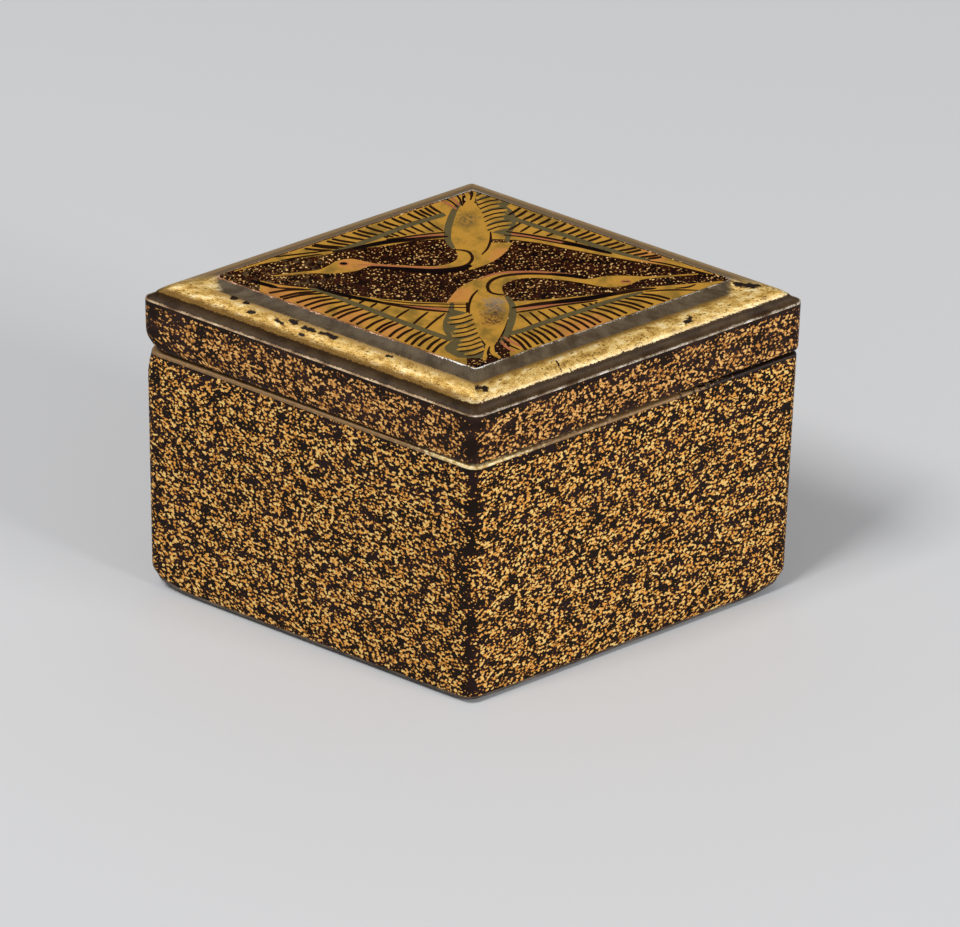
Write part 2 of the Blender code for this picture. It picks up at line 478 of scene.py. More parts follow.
# Flakes are rubbed off along the front corner, in a strip that swerves left halfway up.
front_corner = (0.0, body_low.y)
right_corner = (body_high.x, 0.0)
left_corner = (body_low.x, 0.0)
level = body_points[..., 2]
swerve = -1.2 * MM * bell(level - 16.5 * MM, 3.2 * MM) + 0.15 * MM * np.sin(level / (1.7 * MM))
bare_strip = bell(body_points[..., 0] - swerve, 0.60 * MM) * near(body_points, front_corner, 4 * MM)
under_mouth = bell(mouth - CHAMFER - level, 0.30 * MM)
worn = 0.62 * bare_strip
worn += 0.30 * near(body_points, right_corner, 0.8 * MM)
worn += 0.20 * near(body_points, left_corner, 1.0 * MM)
worn += under_mouth * (0.35 + 0.3 * near(body_points, front_corner, 12 * MM))
worn += 0.6 * bell(level, 0.7 * MM)
gilt = 0.22 + 0.90 * near(body_points, (-0.5 * MM, body_low.y), 5.5 * MM)
gilt += 0.33 * near(body_points, (12 * MM, -10 * MM), 9 * MM)
gilt -= 0.50 * near(body_points, right_corner, 17 * MM)

body = skin("incense_box_body", body_points, body_around, body_across, row_material,
            (body_flaked, gilt_edge(), dark_lacquer, inner_lacquer, worn_wood),
            (("worn", worn), ("gilt", gilt)))
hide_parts("body")
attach(body, "root")


# The lid: a shallow hollow lid of wood that drops over the lip. Its side is flaked like the
# body, and its top is moulded: a grey cove, a gilt roll, and a second grey cove up to the panel.
OVERHANG_RADIUS = POINTED_RADIUS + 0.12 * MM
LID_EDGE_ROUND = 0.55 * MM
WORN_EDGE_RADIUS = 1.5 * MM
ARRIS = 0.10 * MM
OUTER_COVE = (0.78 * MM, 0.74 * MM)
GILT_ROLL = (1.62 * MM, 1.15 * MM)
INNER_COVE = (1.30 * MM, 0.66 * MM)
COVE_HOLLOW = 0.12 * MM
ROLL_SWELL = 0.16 * MM
PANEL_SINK = 0.045 * MM
LIP_CLEARANCE = 0.3 * MM
LID_TOP_THICKNESS = 2.2 * MM
PANEL_FLAKE = 0.30

overhang = (lid_high.x - body_high.x)
lid_half_width = (lid_high.x + POINTED_RADIUS + overhang) / 2
shoulder = lid_high.z - OUTER_COVE[1] - GILT_ROLL[1] - INNER_COVE[1]
panel_tip = 2 * (lid_half_width - OUTER_COVE[0] - GILT_ROLL[0] - INNER_COVE[0])


def bowed(start, size, bow, steps):
    """A moulding band that climbs by size from start, bowed square to its chord by a half sine."""
    share = np.linspace(0, 1, steps + 1)[1:]
    out = bow * np.sin(math.pi * share) / math.hypot(*size)
    return np.stack((start[0] + size[0] * share - out * size[1],
                     start[1] + size[1] * share + out * size[0]), axis=1)


inner_face = WALL + overhang
rebate = lip_inset - LIP_CLEARANCE + overhang
rebate_top = lid_low.z + body_high.z - mouth
ceiling = lid_high.z - LID_TOP_THICKNESS
lid_inside = np.concatenate((
    quarter((inner_face + HOLLOW_ROUND, ceiling), (inner_face, ceiling - HOLLOW_ROUND), True),
    [(inner_face, rebate_top)]))
edge = quarter((LID_EDGE_ROUND, lid_low.z), (0.0, lid_low.z + LID_EDGE_ROUND), True)
side = np.concatenate((
    straight((0.0, lid_low.z + LID_EDGE_ROUND), (0.0, shoulder - ARRIS - MM), 9),
    straight((0.0, shoulder - ARRIS - 1.15 * MM), (0.0, shoulder - ARRIS), 8)))
arris = quarter((0.0, shoulder - ARRIS), (ARRIS, shoulder), False, 4)
cove = bowed(arris[-1], (OUTER_COVE[0] - ARRIS, OUTER_COVE[1]), -COVE_HOLLOW, 10)
roll = bowed(cove[-1], GILT_ROLL, ROLL_SWELL, 22)
inner_cove = bowed(roll[-1], INNER_COVE, -COVE_HOLLOW, 12)
rim = np.array([inner_cove[-1] + (0.08 * MM, 0.0), inner_cove[-1] + (0.14 * MM, -PANEL_SINK)])
lid_outside = np.concatenate((
    [(rebate, rebate_top), (rebate, lid_low.z)], edge, side, arris, cove, roll, inner_cove, rim))
lid_profile = np.concatenate((lid_inside, lid_outside))
lid_radii = np.concatenate((corner_radii(lid_inside, inner=True),
                            corner_radii(lid_outside) + overhang))
lid_levels = lid_profile[:, 1]
worn_edge = (WORN_EDGE_RADIUS - OVERHANG_RADIUS) * bell(lid_levels - lid_low.z, 1.1 * MM)
worn_edge[:len(lid_inside) + 2] = 0.0
lid_radii[:, 2] += worn_edge
lid_points = lozenge_rows(lid_half_width, lid_profile, lid_radii)
first_side = len(lid_inside) + 2 + len(edge)
steps_round = np.linalg.norm(np.diff(lid_points[first_side], axis=0), axis=1)
lid_around = np.append(0.0, np.cumsum(steps_round))
lid_across = np.append(0.0, np.cumsum(np.linalg.norm(np.diff(lid_profile, axis=0), axis=1)))

# Hand work: the arrises and the roll waver by a few hundredths, as a sum of slow waves round
# the lid, and the lid's lower edge hangs a little at the front corner.
turn_round = lid_around / (lid_around[-1] + steps_round[-1]) * 2 * math.pi
waver = sum(np.sin(turn_round * count + count ** 1.7) / count ** 0.5 for count in (5, 11, 23, 47, 83))
start_of_roll = first_side + len(side) + len(arris) + len(cove)
end_of_roll = start_of_roll + len(roll)
in_moulding = np.zeros(len(lid_profile))
in_moulding[first_side + len(side):end_of_roll + len(inner_cove)] = 1.0
lid_points[..., 2] -= 0.012 * MM * (1.5 + waver) * in_moulding[:, None] * (
    0.5 + 0.5 * np.cos(lid_across[:, None] / (0.8 * MM)))
hang = 0.16 * near(lid_points, (0.0, lid_low.y), 14 * MM) - 0.08 * near(lid_points, left_corner, 12 * MM)
low_part = bell(lid_levels - lid_low.z, 1.6 * MM)
low_part[:len(lid_inside)] = 0.0
lid_points[..., 2] -= hang * MM * low_part[:, None]

CHIPS = (
    ((0.2, -16.2), (1.0, -16.1), 0.26),
    ((-23.1, -2.5), (-22.6, -2.7), 0.20),
    ((-21.9, -3.3), (-21.5, -3.4), 0.18),
    ((-21.5, -4.3), (-21.1, -4.5), 0.20),
    ((-18.9, -5.6), (-18.2, -6.2), 0.16),
    ((-17.4, -6.1), (-16.9, -6.3), 0.26),
    ((-16.3, -6.9), (-15.2, -7.5), 0.20),
    ((-14.6, -7.8), (-13.2, -8.6), 0.22),
    ((-16.6, -7.5), (-16.3, -7.7), 0.12),
    ((-8.3, -11.4), (-7.8, -11.6), 0.12),
    ((20.2, -5.3), (20.7, -5.0), 0.24),
    ((7.7, -12.0), (8.2, -12.7), 0.08),
    ((25.3, -0.3), (27.2, -0.1), 0.34),
    ((-30.4, 0.3), (-24.0, 3.6), 0.20),
)


def chipped(points):
    """How near each point lies to a chip: 1 on a chip's line, falling off over its width."""
    worst = np.zeros(points.shape[:2])
    for start, end, width in CHIPS:
        start, end = np.array(start) * MM, np.array(end) * MM
        along = ((points[..., :2] - start) @ (end - start)) / ((end - start) @ (end - start))
        foot_of = start + np.clip(along, 0, 1)[..., None] * (end - start)
        gap = np.linalg.norm(points[..., :2] - foot_of, axis=-1)
        worst = np.maximum(worst, bell(gap, width * MM))
    return worst


def moulded_gold():
    """The moulding's finishes by distance across it, with ragged borders between them.

    A pale arris, a grey cove, the gilt roll, a second grey cove and a pale rim follow one
    another, and chips show the dark ground. Light and shade are painted in as well: the grey cove
    darkens towards the roll as painted shade, and the roll's upper border is painted duller as
    shade. Left of the middle the pale lines are pinkish gold, and the roll is painted a little
    darker with its lower part brown, as painted shade. Right of the middle the pale lines are
    silvery, partly a painted highlight, and a pale painted highlight runs along the roll's lower
    border. Just left of the front the rim is painted white as a highlight. The far sides are
    painted in shade: duller gold and silver and a browner grey. On the near ones the second cove
    is gilt past the panel's tips.
    """
    material, tree, shader = finish("moulded_gold")
    place = run_place(tree)
    across = node(tree, "ShaderNodeSeparateXYZ", {"Vector": place}).outputs["Y"]
    metres = node(tree, "ShaderNodeTexCoord").outputs["Object"]
    apart = node(tree, "ShaderNodeSeparateXYZ", {"Vector": metres})
    aside = apart.outputs["X"]
    right = between(tree, aside, -2.5 * MM, 1.0 * MM)
    left = rest(tree, right)
    far = between(tree, apart.outputs["Y"], -0.5 * MM, 1.5 * MM)
    bare = trait_of(tree, "bare")
    start = lid_across[first_side + len(side)] / MM
    from_arris = maths(tree, "SUBTRACT", across, start)
    drawn_out = node(tree, "ShaderNodeVectorMath", {0: place, 1: (0.55, 1.0, 1.0)},
                     operation="MULTIPLY").outputs[0]
    grain = noise(tree, place, 4.5, 4.0)
    fine = noise(tree, place, 9.0, 2.0)
    mottle = maths(tree, "MULTIPLY_ADD", noise(tree, drawn_out, 1.3, 6.0), 0.65,
                   times(tree, fine, 0.35))
    clouds = maths(tree, "MULTIPLY_ADD", noise(tree, place, 0.6, 3.0), 0.6, times(tree, fine, 0.4))
    ragged = swayed(tree, swayed(tree, from_arris, grain, 0.40), mottle, 0.50)
    arris_end, roll_start, roll_end, rim_start = [
        lid_across[row] / MM - start for row in
        (first_side + len(side) + len(arris), start_of_roll, end_of_roll,
         end_of_roll + len(inner_cove) - 1)]
    cloudy = between(tree, clouds, 0.36, 0.64)
    low_grey = mixed(tree, cloudy, (0.026, 0.012, 0.004), (0.076, 0.045, 0.020))
    # Painted shade: the grey cove darkens to near black towards the roll, in the crease between them.
    low_grey = mixed(tree, between(tree, ragged, roll_start - 0.45, roll_start), low_grey,
                     (0.035, 0.015, 0.002))
    high_grey = mixed(tree, cloudy, (0.052, 0.034, 0.018), (0.125, 0.092, 0.055))
    # Painted shade: on the far sides the inner grey is a browner tone.
    high_grey = mixed(tree, far, high_grey, (0.165, 0.105, 0.048))
    grey = mixed(tree, between(tree, from_arris, roll_end - 0.5, roll_end), low_grey, high_grey)
    gold = ramp(tree, mottle, (0.38, (0.22, 0.115, 0.022)), (0.45, (0.50, 0.295, 0.068)),
                (0.52, (0.74, 0.490, 0.150)), (0.61, (0.97, 0.810, 0.460)))
    # Painted shade: left of the middle the roll is a little darker, and its lower part is brown.
    gold = mixed(tree, times(tree, left, 0.22), gold, (0.30, 0.165, 0.035))
    brown = mixed(tree, mottle, (0.09, 0.040, 0.006), (0.34, 0.190, 0.045))
    shaded_roll_foot = between(tree, ragged, roll_start + 0.85, roll_start + 0.25)
    gold = mixed(tree, times(tree, shaded_roll_foot, left), gold, brown)
    # Painted highlight: a pale band along the roll's lower border, right of the middle.
    highlight_foot = between(tree, ragged, roll_start + 0.50, roll_start + 0.10)
    gold = mixed(tree, times(tree, highlight_foot, times(tree, right, 0.6)), gold,
                 (0.90, 0.74, 0.44))
    specks = between(tree, noise(tree, drawn_out, 5.5, 2.0), 0.56, 0.62)
    many_here = between(tree, noise(tree, place, 0.8, 2.0), 0.40, 0.60, 0.25, 0.95)
    gold = mixed(tree, times(tree, specks, many_here), gold, (0.10, 0.050, 0.012))
    tip_gold = gold
    from_middle = swayed(tree, maths(tree, "ABSOLUTE", aside), mottle, 3.0 * MM)
    past_tip = between(tree, from_middle, panel_tip - 0.7 * MM, panel_tip + 0.3 * MM)
    past_tip = times(tree, past_tip, rest(tree, far))
    # Painted shade: the roll's upper border turns duller and browner, except past the panel's tips.
    shaded_roll_top = times(tree, between(tree, ragged, roll_end - 0.60, roll_end - 0.02),
                   rest(tree, past_tip))
    gold = mixed(tree, shaded_roll_top, gold, mixed(tree, right, (0.42, 0.255, 0.085), brown))
    # Painted shade: on the far sides the roll is a duller brown.
    gold = mixed(tree, times(tree, far, 0.75), gold, (0.30, 0.185, 0.080))
    past_tip = times(tree, past_tip, between(tree, ragged, roll_end - 0.2, roll_end))
    grey = mixed(tree, past_tip, grey, tip_gold)
    lifted = maths(tree, "MULTIPLY_ADD", right, -0.06, ragged)
    on_roll = times(tree, between(tree, lifted, roll_start - 0.05, roll_start + 0.05),
                    between(tree, ragged, roll_end + 0.05, roll_end - 0.03))
    colour = mixed(tree, on_roll, grey, gold)
    # Silvery pale lines right of the middle, partly silver and partly a painted highlight.
    silver_and_highlight = ramp(tree, clouds, (0.42, (0.10, 0.06, 0.03)), (0.51, (0.40, 0.32, 0.23)),
                  (0.62, (0.90, 0.85, 0.76)))
    # Painted shade: on the far sides the pale lines are duller.
    silver_and_highlight = mixed(tree, far, silver_and_highlight, (0.36, 0.25, 0.14))
    arris_gold = ramp(tree, clouds, (0.38, (0.11, 0.06, 0.03)), (0.50, (0.42, 0.28, 0.16)),
                      (0.64, (0.80, 0.64, 0.44)))
    rim_pink = ramp(tree, mottle, (0.40, (0.07, 0.03, 0.015)), (0.50, (0.42, 0.17, 0.08)),
                    (0.62, (0.88, 0.54, 0.36)))
    # Painted highlight: just left of the front the rim is painted white.
    from_front = maths(tree, "ABSOLUTE", maths(tree, "ADD", aside, 1.0 * MM))
    front_highlight = between(tree, from_front, 3.2 * MM, 1.5 * MM)
    on_arris = times(tree, between(tree, ragged, arris_end + 0.01, arris_end - 0.06),
                     between(tree, from_arris, 0.02, 0.06))
    on_rim = between(tree, ragged, rim_start - 0.05, rim_start + 0.02)
    colour = mixed(tree, on_arris, colour, mixed(tree, right, arris_gold, silver_and_highlight))
    rim = mixed(tree, front_highlight, mixed(tree, right, rim_pink, silver_and_highlight), (0.97, 0.94, 0.88))
    colour = mixed(tree, on_rim, colour, rim)
    torn = noise(tree, drawn_out, 2.4, 3.0)
    frayed = times(tree, maths(tree, "SUBTRACT", torn, 0.5), between(tree, bare, 0.03, 0.3))
    chipping = maths(tree, "MULTIPLY_ADD", frayed, 3.2, bare)
    around_chip = between(tree, chipping, 0.18, 0.50)
    chip = between(tree, chipping, 0.55, 0.65)
    colour = mixed(tree, around_chip, colour, (0.15, 0.085, 0.030))
    colour = mixed(tree, chip, colour, (0.014, 0.008, 0.005))
    gilt_part = maths(tree, "MAXIMUM", on_roll, maths(tree, "MAXIMUM", on_arris, on_rim))
    metal = times(tree, times(tree, gilt_part, 0.35), rest(tree, chip))
    settle(tree, shader, colour, 0.44, 0.12, metal)
    bumped(tree, shader, maths(tree, "SUBTRACT", mottle, chip), 0.06 * MM)
    return material


def flat_place(tree):
    """The place in plan, in millimetres."""
    metres = node(tree, "ShaderNodeTexCoord").outputs["Object"]
    place = node(tree, "ShaderNodeVectorMath", {0: metres, "Scale": 1.0 / MM}, operation="SCALE")
    return node(tree, "ShaderNodeVectorMath", {0: place.outputs[0], 1: (1.0, 1.0, 0.0)},
                operation="MULTIPLY").outputs[0]


def panel_lacquer():
    """The panel's ground: dark red-brown lacquer with small, scattered gold flakes."""
    material, tree, shader = finish("panel_lacquer")
    flat = flat_place(tree)
    cover = between(tree, noise(tree, flat, 0.5, 2.0), 0.35, 0.6, 0.16, 0.52)
    flake, bright = flake_layer(tree, flat, PANEL_FLAKE, cover, (3.0, 5.0, 0.0))
    stain = between(tree, noise(tree, flat, 0.9, 3.0), 0.35, 0.65)
    ground = mixed(tree, stain, (0.005, 0.0015, 0.001), (0.030, 0.007, 0.0025))
    aside = node(tree, "ShaderNodeSeparateXYZ", {"Vector": flat}).outputs["X"]
    smeared = between(tree, noise(tree, flat, 1.4, 5.0), 0.50, 0.62)
    rubbed = times(tree, between(tree, aside, -11.0, -17.0), smeared)
    ground = mixed(tree, rubbed, ground, (0.085, 0.050, 0.022))
    gold = ramp(tree, bright, (0.1, (0.20, 0.075, 0.015)), (0.45, (0.52, 0.27, 0.070)),
                (0.85, (0.90, 0.62, 0.26)))
    metal = times(tree, flake, FLAKE_METAL)
    settle(tree, shader, mixed(tree, flake, ground, gold), SATIN, 0.03, metal)
    bumped(tree, shader, flake, 0.01 * MM)
    return material


LID_FLAKED, LID_INNER, LID_DARK, MOULDED, PANEL = range(5)
lid_material = np.full(len(lid_profile) - 1, LID_FLAKED)
lid_material[:len(lid_inside)] = LID_INNER
lid_material[len(lid_inside):len(lid_inside) + 2] = LID_DARK
lid_material[first_side + len(side):] = MOULDED
lid_material[-1] = PANEL
under_arris = bell(shoulder - lid_levels, 0.46 * MM)[:, None]
worn = 0.9 * near(lid_points, (-0.4 * MM, lid_low.y), 0.75 * MM)
worn += 0.4 * near(lid_points, left_corner, 3.5 * MM)
worn += 0.35 * near(lid_points, right_corner, 1.0 * MM)
worn += 1.3 * under_arris
worn += 0.4 * bell(lid_levels - lid_low.z, 0.3 * MM)[:, None]
lid_flaked = flaked_lacquer(
    "lid_flaked_lacquer", (0.014, 0.006, 0.003), (0.030, 0.013, 0.009),
    ((0.13, 0.045, 0.009), (0.36, 0.137, 0.030), (0.71, 0.315, 0.070), (0.97, 0.57, 0.19)))
lid = skin("incense_box_lid", lid_points, lid_around, lid_across, lid_material,
           (lid_flaked, inner_lacquer, dark_lacquer, moulded_gold(), panel_lacquer()),
           (("worn", worn), ("bare", chipped(lid_points))))
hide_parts("lid")
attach(lid, "root")


# The picture: two cranes that face each other across the panel, in flat gold lacquer with dark
# and grey-green drawing. Each shape is a film of lacquer a few hundredths thick on the panel.
# Films that cross differ in height by a hair or more, so that no two lie in one plane.
FILM_BED = 0.010 * MM
GOLD_RISE = 0.010 * MM
RED_RISE = 0.014 * MM
GREY_RISE = 0.017 * MM
DARK_RISE = 0.023 * MM
BLACK_RISE = 0.025 * MM
HAIR = 0.001 * MM
EDGE_GAP = 0.02 * MM
panel_level = lid_high.z - PANEL_SINK
panel_half_width = lid_half_width - lid_profile[-1, 0]
edge_tilt = math.radians(POINTED_ANGLE / 2)
edge_square = np.array((math.sin(edge_tilt), math.cos(edge_tilt)))


def curve(points, count=40):
    """A smooth curve through points in millimetres: on each span it is the cubic whose slope
    at a point is half the step between that point's neighbours."""
    points = np.array(points, float) * MM
    padded = np.vstack((2 * points[0] - points[1], points, 2 * points[-1] - points[-2]))
    place = np.linspace(0, len(points) - 1, count)
    span = np.minimum(place.astype(int), len(points) - 2)
    share = (place - span)[:, None]
    a, b, c, d = padded[span], padded[span + 1], padded[span + 2], padded[span + 3]
    return 0.5 * (2 * b + (c - a) * share + (2 * a - 5 * b + 4 * c - d) * share ** 2
                  + (3 * b - a - 3 * c + d) * share ** 3)


def on_panel(path):
    """A path in which each point beyond the panel's edge is moved straight back onto it."""
    square = np.sign(path) * edge_square
    beyond = (path * square).sum(axis=1) - panel_half_width + EDGE_GAP
    return path - square * np.maximum(beyond, 0)[:, None]


def film(right, left, rise):
    """A closed film of lacquer between two edges, as its points and faces.

    Its section is a flat oblong with its bottom set into the panel, carried along the edges.
    """
    right, left = on_panel(right), on_panel(left)
    low = np.full(len(right), panel_level - FILM_BED)[:, None]
    high = np.full(len(right), panel_level + rise)[:, None]
    points = np.stack((np.hstack((right, low)), np.hstack((right, high)),
                       np.hstack((left, high)), np.hstack((left, low))), axis=1)
    index = np.arange(len(right) * 4).reshape(-1, 4)
    after = np.roll(index, -1, axis=1)
    quads = np.stack((index[:-1], index[1:], after[1:], after[:-1]), axis=-1).reshape(-1, 4)
    return points.reshape(-1, 3), np.vstack((quads, index[0], index[-1, ::-1]))


def stroke(path, width, rise, ends=(0.15, 0.15)):
    """A brush stroke along a path, of a width in millimetres that tapers to a share at its ends."""
    ahead = np.gradient(path, axis=0)
    ahead /= np.linalg.norm(ahead, axis=1)[:, None]
    aside = np.stack((-ahead[:, 1], ahead[:, 0]), axis=1)
    share = np.linspace(0, 1, len(path))
    swell = np.sin(math.pi * share) ** 0.5
    floor_share = ends[0] * (1 - share) + ends[1] * share
    half = width * MM / 2 * (floor_share + (1 - floor_share) * swell)[:, None]
    return film(path - aside * half, path + aside * half, rise)


def turned(points, shift):
    """A path turned half round about the lid's middle and moved by a shift in millimetres."""
    return np.array(shift) * MM - points


def to_edge(start, ahead, stop_short):
    """The point where a ray meets the panel's edge, drawn back by stop_short."""
    square = np.sign(ahead) * edge_square
    room = (panel_half_width - stop_short - start @ square) / (ahead @ square)
    return start + ahead * room


def join(name, films, material):
    """One object from many films, riding with the lid."""
    starts = np.cumsum([0] + [len(points) for points, _ in films[:-1]])
    mesh = bpy.data.meshes.new(name)
    mesh.from_pydata(np.vstack([points for points, _ in films]), [],
                     np.vstack([faces + start for (_, faces), start in zip(films, starts)]).tolist())
    mesh.materials.append(material)
    piece = bpy.data.objects.new(name, mesh)
    bpy.context.scene.collection.objects.link(piece)
    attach(piece, "root")


gold_films, red_films, grey_films, dark_films, black_films = [], [], [], [], []


def across_to(start, ahead, line):
    """Where a ray first passes beyond a line that runs out along a wing, tried every 0.05 mm."""
    tries = start + ahead * (np.arange(1, 140) * 0.05 * MM)[:, None]
    order = np.argsort(line[:, 0])
    beyond = np.abs(tries[:, 1]) > np.abs(np.interp(tries[:, 0], line[order, 0], line[order, 1]))
    return tries[np.argmax(beyond)]


def barb(start, end, out, bow, width, rise):
    """A dark barb at its own rise, bowed towards the wing's tip by a share of its length."""
    chord = np.abs(end - start)
    middle = (start + end) / 2 + np.array((chord[1] * out[0], -chord[0] * out[1])) * bow
    path = curve(np.array((start, middle, end)) / MM, 10)
    dark_films.append(stroke(path, width, rise, (0.4, 0.9)))


def wing(lead, lines, quill, angles, barbs, inner_barbs):
    """One wing along one side of the panel, drawn from the body out to its tip.

    Gold fills it from its leading edge to the panel's edge. Dark lines follow the leading edge,
    with a reddish stripe between the last two, and the quill is a grey band. Dark barbs fan
    from the quill to the panel's edge, and short ones run from the last line to the quill. The
    angles are the barbs' slopes in degrees at the quill's root, middle and tip.
    """
    front = curve(lead)
    out = np.sign(lead[-1])
    outward = out * (0.001, 1.0)
    first, last = [to_edge(front[end], outward, EDGE_GAP) for end in (0, -1)]
    far = first + (last - first) * np.linspace(0, 1, len(front))[:, None]
    right, left = (far, front) if out[0] * out[1] < 0 else (front, far)
    gold_films.append(film(right, left, GOLD_RISE))
    paths = [curve(points) for points, _, _ in lines]
    for path, (_, width, ends) in zip(paths, lines):
        dark_films.append(stroke(path, width, DARK_RISE, ends))
    before_last, last_line = paths[-2:]
    reach = min(abs(last_line[-1, 0]), abs(before_last[-1, 0]))
    opposite = np.interp(np.abs(last_line[:, 0]), np.abs(before_last[:, 0]), before_last[:, 1])
    stripe = last_line * 0.5 + 0.5 * np.stack((last_line[:, 0], opposite), axis=1)
    red_films.append(stroke(stripe[np.abs(stripe[:, 0]) <= reach], 0.42, RED_RISE, (0.6, 0.2)))
    spine = curve(quill, 60)
    grey_films.append(stroke(spine, 0.66, GREY_RISE - HAIR, (1.0, 0.35)))
    bow = 0.06 if out[1] < 0 else 0.03

    def slanted(share, sway):
        """A barb's direction at a share of the quill, swayed by so many degrees."""
        angle = math.radians(np.interp(share, (0, 0.5, 1), angles) + sway)
        return out * (math.cos(angle), math.sin(angle))

    for count, share in enumerate(np.linspace(0.03, 0.97, barbs)):
        start = spine[int(share * (len(spine) - 1))]
        ahead = slanted(share, 2.5 * math.sin(count * 2.4))
        end = to_edge(start, ahead, (0.08 + 0.08 * (count % 3)) * MM)
        barb(start + ahead * 0.3 * MM, end, out, bow, 0.34, DARK_RISE - 2 * HAIR)
    for count, share in enumerate(np.linspace(0.05, 0.95, inner_barbs)):
        start = last_line[int(share * (len(last_line) - 1))] + out * (0.0, 0.25 * MM)
        ahead = slanted(share * 0.7, 3.0 * math.sin(count * 1.9))
        end = across_to(start, ahead, spine) - ahead * 0.35 * MM
        barb(start, end, out, 0.02, 0.27, DARK_RISE - 3 * HAIR)


def feathers(*lines, width=0.24):
    """Dark lines between the long feathers of a wing, or black wedges where they are wide."""
    films, rise = (black_films, BLACK_RISE) if width > 0.5 else (dark_films, DARK_RISE)
    for points in lines:
        films.append(stroke(curve(points, 24), width, rise, (0.3, 0.3)))


wing(((3.3, -3.75), (6.0, -3.5), (9.0, -3.0), (12.0, -2.5), (14.5, -1.8), (17.0, -1.3), (20.0, -0.85),
      (24.0, -0.25)),
     ((((3.6, -4.75), (6.0, -4.15), (8.5, -3.65), (11.0, -3.1), (13.0, -2.55), (15.5, -1.85), (17.5, -1.5)),
       0.62, (0.3, 0.2)),
      (((4.0, -5.45), (6.0, -4.95), (8.0, -4.35), (10.5, -3.8), (11.8, -3.5)), 0.24, (0.8, 0.6))),
     ((2.9, -8.9), (4.5, -8.3), (6.0, -7.4), (8.0, -6.3), (10.0, -5.25), (12.0, -4.1), (14.0, -3.1),
      (16.2, -2.1)), (56, 38, 12), 20, 9)
feathers(((16.4, -2.0), (19.0, -1.75), (21.6, -1.8)), ((19.3, -1.5), (20.5, -1.3), (21.3, -0.85)))
feathers(((7.4, -3.95), (9.5, -3.5), (11.5, -3.05), (13.6, -2.35)), width=0.66)
wing(((-0.8, -3.95), (-4.0, -3.95), (-8.0, -3.55), (-10.0, -3.2), (-12.0, -2.75), (-14.0, -2.15),
      (-16.0, -1.75), (-18.5, -1.3), (-20.5, -0.6)),
     ((((-0.6, -4.2), (-3.0, -4.2), (-6.0, -4.05), (-9.0, -3.55)), 0.16, (1.0, 0.3)),
      (((-0.6, -4.75), (-3.0, -4.7), (-6.0, -4.45), (-9.5, -3.8)), 0.16, (1.0, 0.3)),
      (((-2.4, -5.45), (-5.0, -5.05), (-8.0, -4.3), (-10.0, -3.6), (-12.0, -3.0), (-13.5, -2.4),
        (-14.8, -1.9)), 0.36, (0.5, 1.0))),
     ((-2.2, -9.8), (-4.0, -8.8), (-6.0, -7.6), (-8.0, -6.4), (-10.0, -5.1), (-12.0, -3.9), (-14.0, -2.6),
      (-15.7, -1.85)), (54, 38, 8), 21, 10)
feathers(((-16.2, -1.95), (-18.0, -1.85), (-19.6, -1.7)))
feathers(((-8.8, -4.05), (-10.8, -3.45), (-12.8, -2.75), (-14.8, -1.85)),
         ((-18.8, -1.75), (-20.0, -1.25), (-21.4, -0.6)), width=0.52)
wing(((-1.0, 6.25), (-3.5, 6.2), (-6.0, 5.8), (-8.0, 5.2), (-10.0, 4.8), (-12.0, 4.3), (-15.0, 3.4),
      (-18.0, 2.7), (-20.5, 2.0), (-23.0, 0.75)),
     ((((-2.4, 6.65), (-4.0, 6.45), (-6.0, 6.1), (-8.0, 5.75), (-10.0, 5.15), (-12.0, 4.4), (-13.6, 4.0)),
       0.62, (0.25, 0.3)),
      (((-2.7, 7.3), (-5.0, 6.9), (-7.0, 6.4), (-8.4, 6.1)), 0.24, (0.8, 0.5))),
     ((-2.7, 10.3), (-4.0, 9.6), (-6.0, 8.6), (-8.0, 7.3), (-10.0, 6.0), (-12.0, 4.85), (-13.6, 4.1)),
     (48, 27, 4), 18, 8)
feathers(((-14.0, 4.2), (-17.0, 3.6), (-19.4, 3.1)), ((-14.5, 3.7), (-16.5, 3.2), (-18.6, 2.6)))
feathers(((-5.6, 6.25), (-7.6, 5.9), (-9.6, 5.3), (-11.6, 4.55)), width=0.60)
wing(((1.3, 6.3), (4.0, 6.15), (6.5, 5.65), (9.0, 4.8), (12.0, 3.9), (15.0, 3.0), (18.0, 2.3), (20.0, 1.7),
      (23.0, 0.75)),
     ((((3.0, 6.95), (5.0, 6.6), (7.0, 6.05), (9.0, 5.45), (11.0, 4.85), (13.0, 4.0)), 0.20, (0.8, 0.3)),
      (((3.2, 7.5), (5.0, 7.1), (7.0, 6.55), (9.0, 5.9), (11.0, 5.15), (13.2, 4.15)), 0.30, (0.6, 0.8))),
     ((3.0, 10.1), (5.0, 9.05), (7.0, 7.95), (9.0, 6.9), (11.0, 5.75), (13.0, 4.7), (15.0, 3.75),
      (17.0, 2.95)), (46, 31, 10), 20, 8)
feathers(((16.8, 2.9), (18.6, 2.4), (20.6, 1.6), (23.4, 0.5)))
feathers(((8.6, 5.7), (10.2, 5.25), (11.8, 4.65), (13.4, 4.0)), width=0.52)


